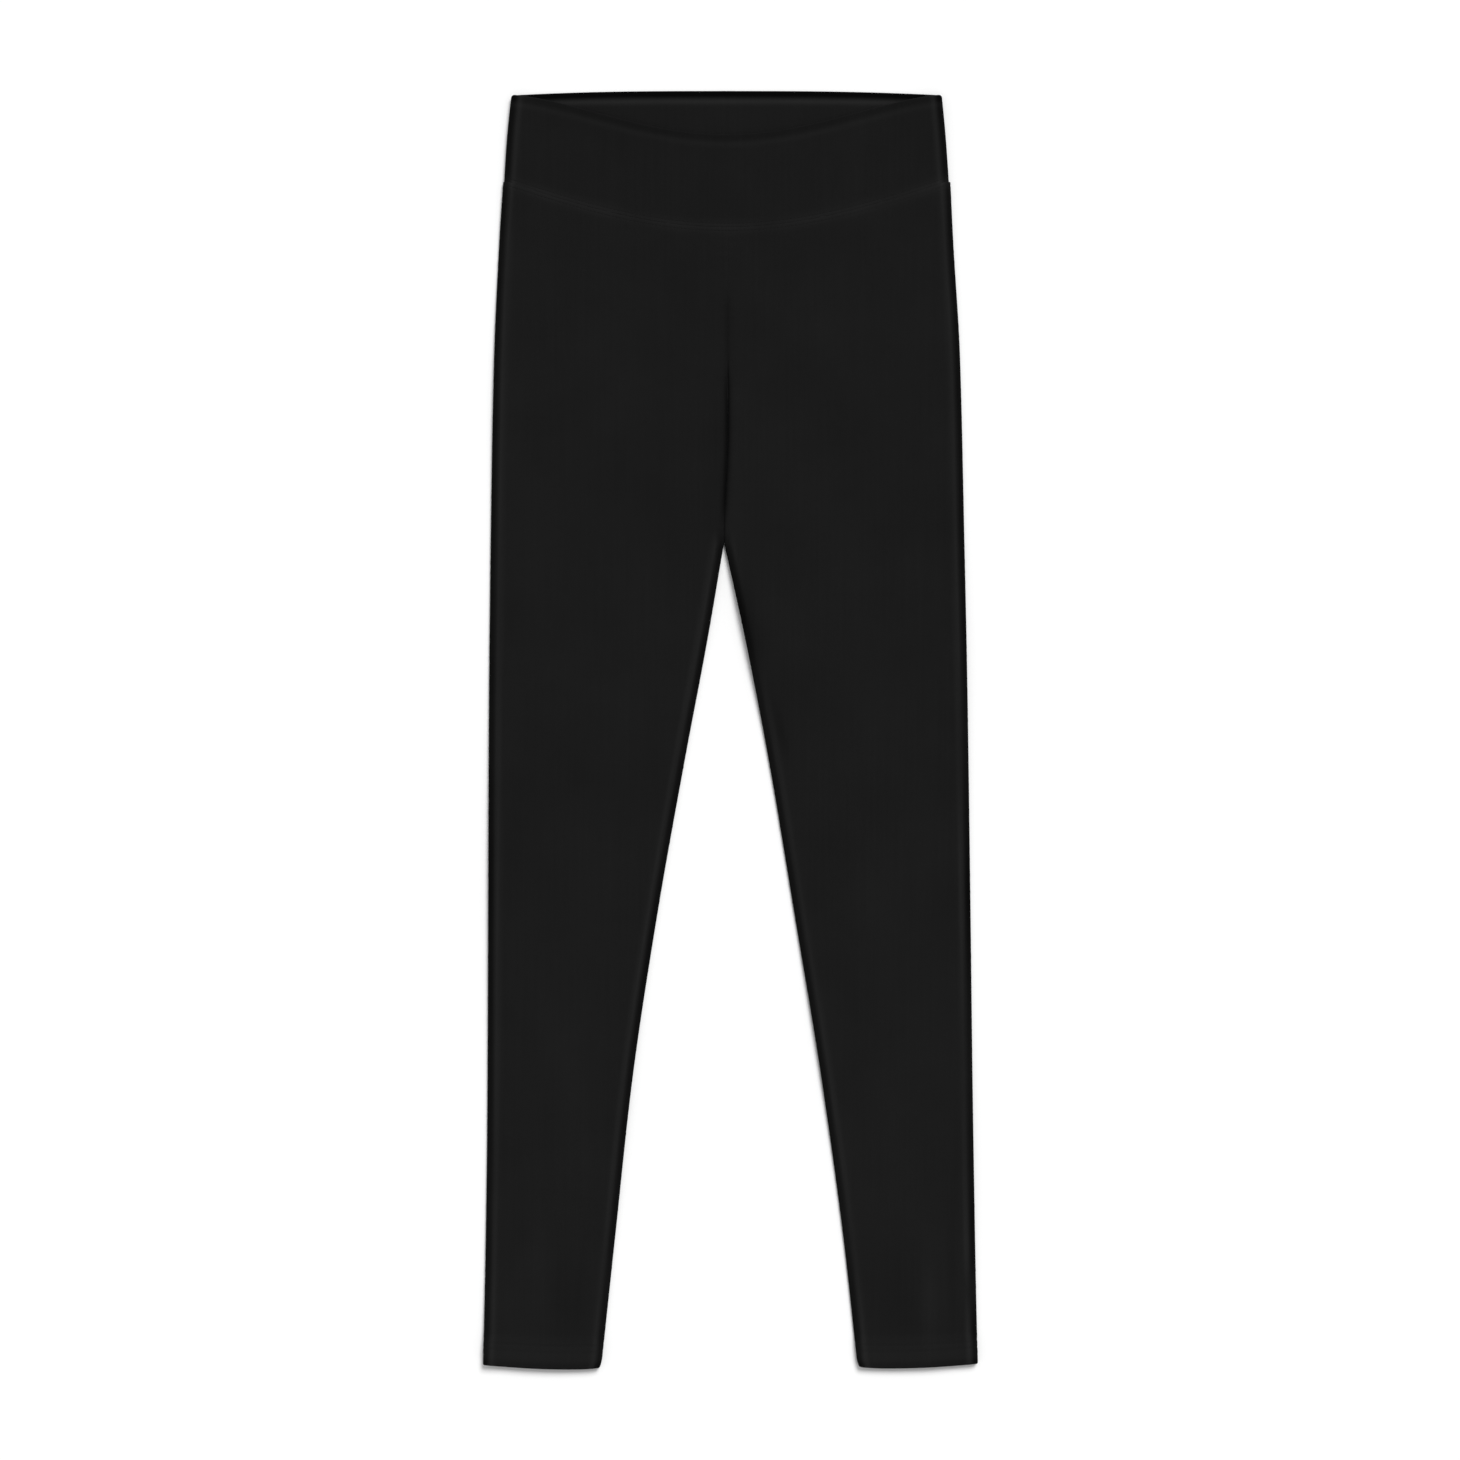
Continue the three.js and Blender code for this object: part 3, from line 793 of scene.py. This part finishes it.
def wallMesh(name, surface):
    # a closed wall: two grids joined round their four sides, turned the right way out by its signed volume
    outer, inner = faces(surface)
    rows, columns = outer.shape[:2]
    a = np.arange(rows * columns).reshape(rows, columns)
    b = a + rows * columns
    quads = [
        (a[:-1, :-1], a[1:, :-1], a[1:, 1:], a[:-1, 1:]),
        (b[:-1, :-1], b[:-1, 1:], b[1:, 1:], b[1:, :-1]),
        (a[:-1, 0], b[:-1, 0], b[1:, 0], a[1:, 0]),
        (a[:-1, -1], a[1:, -1], b[1:, -1], b[:-1, -1]),
        (a[0, :-1], a[0, 1:], b[0, 1:], b[0, :-1]),
        (a[-1, :-1], b[-1, :-1], b[-1, 1:], a[-1, 1:]),
    ]
    polygons = np.concatenate([np.stack(quad, axis=-1).reshape(-1, 4) for quad in quads])
    points = np.concatenate([outer.reshape(-1, 3), inner.reshape(-1, 3)])
    p, q, r, s = (points[polygons[:, k]] for k in range(4))
    if np.sum(np.cross(q - p, r - p) * p) + np.sum(np.cross(r - p, s - p) * p) < 0:
        polygons = polygons[:, ::-1]
    uv = np.stack([surface["clothX"] * mm, -surface["down"] * mm], axis=-1).reshape(-1, 2)
    # the painted light and shade, the same on both faces
    rub = surface["rub"].ravel()
    return newMesh(name, points, polygons, np.concatenate([uv, uv]), np.concatenate([rub, rub]))


def placesAcross(width, roll, endStep, midStep):
    # a row of zones and shares: down from the first edge, over the flat and down to the second edge
    bent = np.linspace(0, 1, roll + 1)
    flat = gradedSteps(width, endStep, midStep, stepReach["across"]) / width
    zone = np.concatenate([-np.ones(roll), np.zeros(len(flat) - 1), np.ones(roll + 1)])
    share = np.concatenate([bent[:0:-1], flat[:-1], bent])
    return zone[None, :], share[None, :]


def rowsDown(start, end, endStep, midStep):
    return (start + gradedSteps(end - start, endStep, midStep, stepReach["down"]))[:, None]


def stitchRow(path, normal, thread):
    # Each stitch is a thin tube that arches out of one needle hole and into the next, on a path over the
    # cloth. Its rings are circles across the path, and its ends taper.
    length = np.concatenate([[0], np.cumsum(np.linalg.norm(np.diff(path, axis=0), axis=1))])
    count = max(1, int(round(length[-1] / thread["pitch"])))
    pitch = length[-1] / count
    t = np.linspace(0, 1, thread["rings"])
    at = (np.arange(count)[:, None] + 0.5) * pitch + (t[None, :] - 0.5) * (pitch - thread["hole"])
    centre = np.stack([np.interp(at, length, path[:, k]) for k in range(3)], axis=-1)
    up = np.stack([np.interp(at, length, normal[:, k]) for k in range(3)], axis=-1)
    up = up / np.linalg.norm(up, axis=-1, keepdims=True)
    ahead = np.gradient(centre, axis=1)
    ahead = ahead / np.linalg.norm(ahead, axis=-1, keepdims=True)
    across = np.cross(up, ahead)
    arch = np.sqrt(np.sin(math.pi * t))[None, :, None]
    centre = centre + up * (arch * thread["lift"] - thread["sink"])
    radius = thread["radius"] * (thread["endShare"] + (1 - thread["endShare"]) * arch)
    angle = np.linspace(0, 2 * math.pi, thread["sides"], endpoint=False)[None, None, :, None]
    ring = np.cos(angle) * across[:, :, None, :] + np.sin(angle) * up[:, :, None, :]
    return centre[:, :, None, :] + ring * radius[:, :, None, :]


def stitchMesh(name, runs):
    # the rings of every stitch joined along it, with a flat end at each hole
    points, polygons, offset = [], [], 0
    for tube in runs:
        count, rings, sides = tube.shape[:3]
        index = np.arange(count * rings * sides).reshape(count, rings, sides) + offset
        turned = np.roll(index, -1, axis=2)
        sideFaces = np.stack([index[:, :-1], turned[:, :-1], turned[:, 1:], index[:, 1:]], axis=-1)
        points.append(tube.reshape(-1, 3))
        polygons += sideFaces.reshape(-1, 4).tolist()
        polygons += index[:, 0, ::-1].tolist() + index[:, -1].tolist()
        offset += count * rings * sides
    return newMesh(name, np.concatenate(points), polygons)


def rowPath(surface):
    # one row of a surface's outer face, with its normals
    outer, _ = faces(surface)
    normal = np.stack([surface["normalX"], 0 * surface["x"], surface["normalZ"]], axis=-1)[0]
    return outer[0], normal


thread = {
    "pitch": 2.9 * mm,
    "hole": 0.35 * mm,
    "radius": 0.15 * mm,
    "endShare": 0.3,
    "lift": 0.16 * mm,
    "sink": 0.06 * mm,
    "rings": 6,
    "sides": 6,
}

legGrid = {
    "front": {"roll": 6, "endStep": 0.8, "midStep": 4.2, "endRow": 0.3, "midRow": 2.2},
    "back": {"roll": 5, "endStep": 1.0, "midStep": 7.0, "endRow": 0.4, "midRow": 3.2},
}
bandGrid = {"roll": 6, "endStep": 0.8, "midStep": 2.0, "endRow": 0.12, "midRow": 1.5}
legWidth = 150.0
bandWidth = 343.0


def legPlaces(layer):
    grid = legGrid[layer]
    return placesAcross(legWidth, grid["roll"], grid["endStep"], grid["midStep"])


def legPanel(side, layer):
    grid = legGrid[layer]
    zone, share = legPlaces(layer)
    level = rowsDown(lay["waistSeamSide"], lay["hem"], grid["endRow"], grid["midRow"])
    return wallMesh(f"{side}_leg_{layer}", legSurface(side, layer == "front", zone, share, level))


def legStitches(side, layer):
    zone, share = legPlaces(layer)
    levels = [lay["waistSeamSide"] + sewing["waistRow"]] + [lay["hem"] - row for row in sewing["hemRows"]]
    runs = []
    for level in levels:
        surface = legSurface(side, layer == "front", zone, share, np.array([[level]]))
        path, normal = rowPath(surface)
        runs.append(stitchRow(path, normal, thread))
    return stitchMesh(f"{side}_leg_{layer}_stitches", runs)


def bandPlaces():
    return placesAcross(bandWidth, bandGrid["roll"], bandGrid["endStep"], bandGrid["midStep"])


def waistbandPanel(layer):
    zone, share = bandPlaces()
    inset = rowsDown(0, bandSewing["depth"], bandGrid["endRow"], bandGrid["midRow"])
    return wallMesh(f"band_{layer}", waistbandSurface(layer == "front", zone, share, inset))


def waistbandStitches(layer):
    # the row above the waist seam: the inset that lies a row's distance from it is found place by place
    zone, share = bandPlaces()
    surface = waistbandSurface(layer == "front", zone, share, np.full(share.shape, bandSewing["depth"]))
    length = surface["down"] - topEdgeDown(surface["x"], layer == "front")
    inset = bandSewing["depth"] * (1 - sewing["waistRow"] / length)
    path, normal = rowPath(waistbandSurface(layer == "front", zone, share, inset))
    return stitchMesh(f"band_{layer}_stitches", [stitchRow(path, normal, thread)])


# The knit. Pitches and depths are in metres, as the UV map is.
knit = {
    "wale": 0.00078,
    "course": 0.00058,
    "slant": 2.2,
    "loopShare": 0.9,
    "columnShare": 0.8,
    "columnTurn": 1.7,
    "depth": 0.00009,
    "fuzzScale": 1400.0,
    "fuzzDetail": 3.0,
    "fuzzDepth": 0.00006,
    "streakScale": (420.0, 9.0, 1.0),
    "streakDetail": 2.0,
    "patchScale": 14.0,
    "patchDetail": 4.0,
    "patchRoughness": 0.6,
}


def addNode(tree, kind, inputs=None, **settings):
    node = tree.nodes.new(kind)
    for key, value in settings.items():
        setattr(node, key, value)
    for key, value in (inputs or {}).items():
        if isinstance(value, bpy.types.NodeSocket):
            tree.links.new(value, node.inputs[key])
        else:
            node.inputs[key].default_value = value
    return node


def calculate(tree, operation, first, second=0.0):
    return addNode(tree, "ShaderNodeMath", {0: first, 1: second}, operation=operation).outputs[0]


def jerseyMaterial(name, finish):
    # Plain knit: every wale is a column of Vs, a sine along the courses that is slanted to both sides of the
    # wale's middle, between the dips from wale to wale. Noise gives the fuzz and the faint streaks.
    material = bpy.data.materials.new(name)
    material.use_nodes = True
    tree = material.node_tree
    shader = tree.nodes["Principled BSDF"]
    uv = addNode(tree, "ShaderNodeUVMap", uv_map="cloth").outputs["UV"]
    split = addNode(tree, "ShaderNodeSeparateXYZ", {0: uv})
    wales = calculate(tree, "MULTIPLY", split.outputs["X"], 1 / knit["wale"])
    courses = calculate(tree, "MULTIPLY", split.outputs["Y"], 1 / knit["course"])
    fold = calculate(tree, "PINGPONG", wales, 0.5)
    slanted = calculate(tree, "ADD", courses, calculate(tree, "MULTIPLY", fold, knit["slant"]))
    loops = calculate(tree, "SINE", calculate(tree, "MULTIPLY", slanted, 2 * math.pi))
    columns = calculate(tree, "SINE", calculate(tree, "MULTIPLY", fold, knit["columnTurn"] * math.pi))
    height = calculate(
        tree,
        "ADD",
        calculate(tree, "MULTIPLY", loops, knit["loopShare"]),
        calculate(tree, "MULTIPLY", columns, knit["columnShare"]),
    )

    fuzz = addNode(
        tree, "ShaderNodeTexNoise", {"Vector": uv, "Scale": knit["fuzzScale"], "Detail": knit["fuzzDetail"]}
    )
    stretched = addNode(tree, "ShaderNodeMapping", {"Vector": uv, "Scale": knit["streakScale"]}).outputs[0]
    streaks = addNode(
        tree, "ShaderNodeTexNoise", {"Vector": stretched, "Scale": 1.0, "Detail": knit["streakDetail"]}
    )
    patches = addNode(
        tree,
        "ShaderNodeTexNoise",
        {
            "Vector": uv,
            "Scale": knit["patchScale"],
            "Detail": knit["patchDetail"],
            "Roughness": knit["patchRoughness"],
        },
    )

    knitBump = addNode(
        tree, "ShaderNodeBump", {"Strength": finish["knit"], "Distance": knit["depth"], "Height": height}
    )
    fuzzBump = addNode(
        tree,
        "ShaderNodeBump",
        {
            "Strength": finish["fuzz"],
            "Distance": knit["fuzzDepth"],
            "Height": fuzz.outputs[0],
            "Normal": knitBump.outputs[0],
        },
    )
    tone = calculate(tree, "MULTIPLY", patches.outputs[0], finish["patches"])
    tone = calculate(tree, "ADD", tone, calculate(tree, "MULTIPLY", streaks.outputs[0], finish["streaks"]))
    # painted shade of the knit: lighter on its loops, darker in the dips between them
    tone = calculate(tree, "ADD", tone, calculate(tree, "MULTIPLY", height, finish["loopShading"]))
    # the painted light and shade from the mesh's point attribute lightens or darkens the colour
    rub = addNode(tree, "ShaderNodeAttribute", attribute_name="rub").outputs["Fac"]
    tone = calculate(tree, "ADD", tone, calculate(tree, "MULTIPLY", rub, finish["rubTone"]))
    ramp = addNode(
        tree,
        "ShaderNodeMapRange",
        {"Value": tone, "From Min": 0.0, "From Max": finish["toneSpan"]},
        clamp=False,
    )
    colour = addNode(tree, "ShaderNodeMix", data_type="RGBA", clamp_factor=False)
    # the mix node's sockets by number: 0 is the factor, 6 and 7 are its two colours, and 2 is its result
    tree.links.new(calculate(tree, "MAXIMUM", ramp.outputs[0], finish["toneFloor"]), colour.inputs[0])
    colour.inputs[6].default_value = (*finish["dark"], 1)
    colour.inputs[7].default_value = (*finish["light"], 1)
    tree.links.new(colour.outputs[2], shader.inputs["Base Color"])
    rough = addNode(
        tree,
        "ShaderNodeMapRange",
        {"Value": fuzz.outputs[0], "To Min": finish["rough"][0], "To Max": finish["rough"][1]},
    )
    tree.links.new(rough.outputs[0], shader.inputs["Roughness"])
    tree.links.new(fuzzBump.outputs[0], shader.inputs["Normal"])
    shader.inputs["Specular IOR Level"].default_value = finish["specular"]
    shader.inputs["Sheen Weight"].default_value = finish["sheen"]
    shader.inputs["Sheen Roughness"].default_value = finish["sheenRoughness"]
    shader.inputs["Sheen Tint"].default_value = (*finish["sheenTint"], 1)
    return material


legFinish = {
    "dark": (0.0068, 0.0068, 0.0068),
    "light": (0.0119, 0.0119, 0.0119),
    "rubTone": 0.62,
    "patches": 1.0,
    "streaks": 0.5,
    "loopShading": 0.06,
    "toneSpan": 1.5,
    "toneFloor": -1.1,
    "rough": (0.78, 0.96),
    "specular": 0.03,
    "sheen": 0.02,
    "sheenRoughness": 0.45,
    "sheenTint": (0.8, 0.8, 0.82),
    "knit": 0.55,
    "fuzz": 0.4,
}
bandFinish = {**legFinish, "dark": (0.0065, 0.0065, 0.0065), "light": (0.0114, 0.0114, 0.0114)}


threadFinish = {
    "dark": (0.0045, 0.0045, 0.0045),
    "light": (0.008, 0.008, 0.008),
    "twistScale": 900.0,
    "twistDistortion": 0.6,
    "twistStrength": 0.5,
    "twistDepth": 0.00004,
    "rough": 0.7,
    "specular": 0.1,
}


def threadMaterial(name, finish):
    # spun thread: a slanted wave over Object coordinates for the twist, which also darkens the colour in its
    # grooves, a painted shade
    material = bpy.data.materials.new(name)
    material.use_nodes = True
    tree = material.node_tree
    shader = tree.nodes["Principled BSDF"]
    place = addNode(tree, "ShaderNodeTexCoord").outputs["Object"]
    twist = addNode(
        tree,
        "ShaderNodeTexWave",
        {"Vector": place, "Scale": finish["twistScale"], "Distortion": finish["twistDistortion"]},
        bands_direction="DIAGONAL",
    ).outputs["Fac"]
    bump = addNode(
        tree,
        "ShaderNodeBump",
        {"Strength": finish["twistStrength"], "Distance": finish["twistDepth"], "Height": twist},
    )
    tree.links.new(bump.outputs[0], shader.inputs["Normal"])
    # painted shade: darker in the twist's grooves, lighter on its ridges
    tone = addNode(tree, "ShaderNodeValToRGB", {"Fac": twist})
    tone.color_ramp.elements[0].color = (*finish["dark"], 1)
    tone.color_ramp.elements[1].color = (*finish["light"], 1)
    tree.links.new(tone.outputs[0], shader.inputs["Base Color"])
    shader.inputs["Roughness"].default_value = finish["rough"]
    shader.inputs["Specular IOR Level"].default_value = finish["specular"]
    return material


def dress(piece, material):
    piece.data.materials.append(material)
    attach(piece, "root")


def tell(label, panel, stitches):
    print(f"{label}: {len(panel.data.polygons)} faces, {len(stitches.data.polygons)} in stitches")


# The camera, in metres but for its lens and sensor. It sees its width at the height of the outline.
camera = {
    "lens": 85.0,
    "sensor": 36.0,
    "widthSeen": 1.1471,
    "x": -0.0004,
    "y": -0.0002,
    "outlineHeight": 0.002,
}


def makeCamera():
    data = bpy.data.cameras.new("camera")
    data.lens = camera["lens"]
    data.sensor_width = camera["sensor"]
    holder = bpy.data.objects.new("camera", data)
    height = camera["widthSeen"] * camera["lens"] / camera["sensor"] + camera["outlineHeight"]
    holder.location = (camera["x"], camera["y"], height)
    bpy.context.scene.collection.objects.link(holder)
    bpy.context.scene.camera = holder


studio = {
    "floorRadius": 30.0,
    "floorSides": 96,
    "floorColour": (0.93, 0.93, 0.93, 1),
    "floorRough": 0.9,
    "skyStrength": 0.5,
    "sunStrength": 2.55,
    "sunAngle": 30.0,
    "sunTilt": (41.0, 0.0, 153.0),
}


def makeStudio():
    mesh = bpy.data.meshes.new("floor")
    turn = np.linspace(0, 2 * math.pi, studio["floorSides"], endpoint=False)
    rim = np.stack([np.cos(turn), np.sin(turn), 0 * turn], axis=-1) * studio["floorRadius"]
    mesh.from_pydata(rim.tolist(), [], [list(range(len(turn)))])
    floor = bpy.data.objects.new("floor", mesh)
    bpy.context.scene.collection.objects.link(floor)
    paper = bpy.data.materials.new("pale_floor")
    paper.use_nodes = True
    shader = paper.node_tree.nodes["Principled BSDF"]
    shader.inputs["Base Color"].default_value = studio["floorColour"]
    shader.inputs["Roughness"].default_value = studio["floorRough"]
    shader.inputs["Specular IOR Level"].default_value = 0.0
    mesh.materials.append(paper)

    world = bpy.data.worlds.new("studio")
    world.use_nodes = True
    world.node_tree.nodes["Background"].inputs["Color"].default_value = (1, 1, 1, 1)
    world.node_tree.nodes["Background"].inputs["Strength"].default_value = studio["skyStrength"]
    bpy.context.scene.world = world

    lamp = bpy.data.lights.new("soft_window", "SUN")
    lamp.energy = studio["sunStrength"]
    lamp.angle = math.radians(studio["sunAngle"])
    holder = bpy.data.objects.new("soft_window", lamp)
    holder.rotation_euler = [math.radians(angle) for angle in studio["sunTilt"]]
    bpy.context.scene.collection.objects.link(holder)


makeCamera()
makeStudio()
print("camera, floor and lights")

legCloth = jerseyMaterial("leg_jersey", legFinish)
bandCloth = jerseyMaterial("waistband_jersey", bandFinish)
sewingThread = threadMaterial("sewing_thread", threadFinish)

for side in ("right", "left"):
    for layer in ("back", "front"):
        panel = legPanel(side, layer)
        stitches = legStitches(side, layer)
        dress(panel, legCloth)
        dress(stitches, sewingThread)
        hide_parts(f"{layer}_{side}_leg")
        tell(f"{side} leg, {layer}", panel, stitches)

for layer in ("back", "front"):
    band = waistbandPanel(layer)
    stitches = waistbandStitches(layer)
    dress(band, bandCloth)
    dress(stitches, sewingThread)
    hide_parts(f"waistband_{layer}")
    tell(f"waistband, {layer}", band, stitches)
